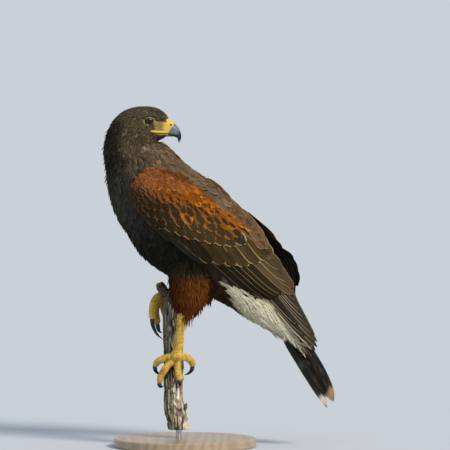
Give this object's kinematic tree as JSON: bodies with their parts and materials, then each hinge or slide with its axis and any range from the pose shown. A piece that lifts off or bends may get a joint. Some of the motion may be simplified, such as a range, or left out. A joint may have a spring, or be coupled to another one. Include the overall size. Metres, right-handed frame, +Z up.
{
  "type": "perched hawk figure",
  "caption": "Life-size perched hawk looking back over its shoulder, gripping an upright branch held by a round display stand.",
  "frame": {"origin": "centre of the display base's underside", "axes": "+Z up, +X the way the bill points, -Y the bird's left side, which faces the viewer"},
  "size_m": [0.329, 0.2, 0.4775],
  "materials": {
    "plumage": "dark brown feathers",
    "wing": "chestnut and brown wing feathers",
    "thigh": "rufous feathers",
    "tail": "black-brown feathers with a pale tip",
    "scales": "yellow scaly skin",
    "claw": "smooth black horn",
    "bill": "blue-grey horn with a dark tip",
    "eye": "dark brown, wet",
    "bark": "weathered grey branch",
    "stand_wood": "dark satin",
    "stand_steel": "brushed"
  },
  "bodies": {
    "root": {"bill_lower": "bill", "bill_upper": "bill", "eye_left": "eye", "eye_right": "eye", "head": "plumage", "left_claw_hind": "claw", "left_claw_inner": "claw", "left_claw_middle": "claw", "left_claw_outer": "claw", "left_toe_hind": "scales", "left_toe_inner": "scales", "left_toe_middle": "scales", "left_toe_outer": "scales", "neck": "plumage", "perch": "bark", "right_claw_hind": "claw", "right_claw_inner": "claw", "right_claw_middle": "claw", "right_claw_outer": "claw", "right_toe_hind": "scales", "right_toe_inner": "scales", "right_toe_middle": "scales", "right_toe_outer": "scales", "stand_base": "stand_wood", "stand_rod": "stand_steel", "tail": "tail", "tarsus_left": "scales", "tarsus_right": "scales", "thigh_left": "thigh", "thigh_right": "thigh", "trunk": "plumage", "wing_left": "wing", "wing_right": "wing"}
  },
  "joints": []
}
